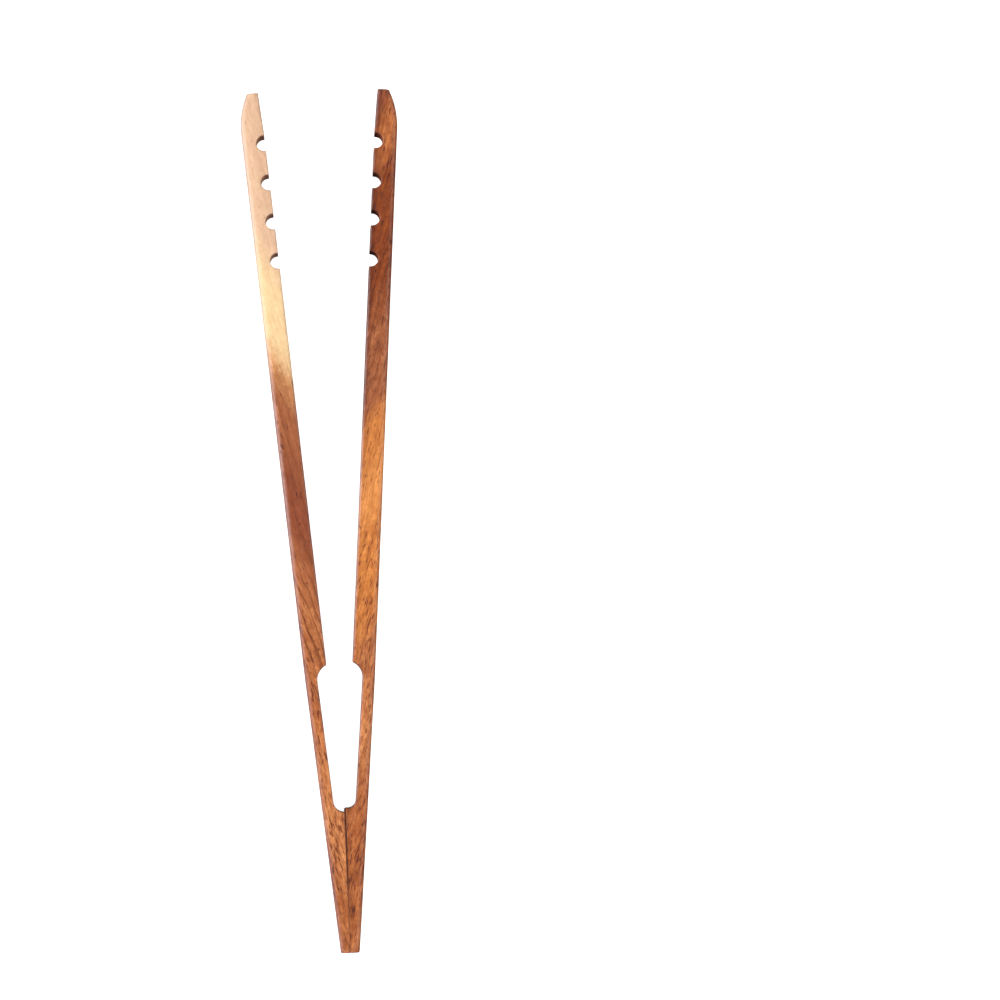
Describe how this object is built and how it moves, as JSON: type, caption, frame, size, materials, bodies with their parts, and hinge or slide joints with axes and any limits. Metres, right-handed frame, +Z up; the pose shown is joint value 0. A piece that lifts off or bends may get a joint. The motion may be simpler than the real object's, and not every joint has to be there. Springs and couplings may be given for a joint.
{
  "type": "print tongs",
  "caption": "Wooden tongs: two sticks glued at the butt, each thinned above it into a spring strip, with half-round notches along the inner edge of the jaws.",
  "frame": {"origin": "centre of the resting tongs' footprint, on the surface that they lie on", "axes": "+Y from the glued butt to the tips, +Z up through the board's thickness, +X across from the left stick to the right one"},
  "size_m": [0.0456, 0.25, 0.01],
  "materials": {
    "left_stick": "satin oiled, pale sapwood towards the tip",
    "right_stick": "satin oiled",
    "glue": "dark cured wood glue"
  },
  "bodies": {
    "butt": {"left_arm_butt": "left_stick", "right_arm_butt": "right_stick", "glue_line": "glue", "left_arm_flexure": "left_stick", "right_arm_flexure": "right_stick"},
    "left_jaw": {"left_arm_jaw": "left_stick"},
    "right_jaw": {"right_arm_jaw": "right_stick"}
  },
  "joints": [
    {"name": "left_flex", "type": "hinge", "parent": "butt", "child": "left_jaw", "pos_m": [-0.00675, -0.063, 0.005], "axis": [0, 0, -1], "range_deg": [-1.5, 5.1], "stiffness_Nm_per_rad": 12, "deforming": ["left_arm_flexure"]},
    {"name": "right_flex", "type": "hinge", "parent": "butt", "child": "right_jaw", "pos_m": [0.00675, -0.063, 0.005], "axis": [0, 0, 1], "range_deg": [-1.5, 5.1], "stiffness_Nm_per_rad": 12, "deforming": ["right_arm_flexure"]}
  ]
}
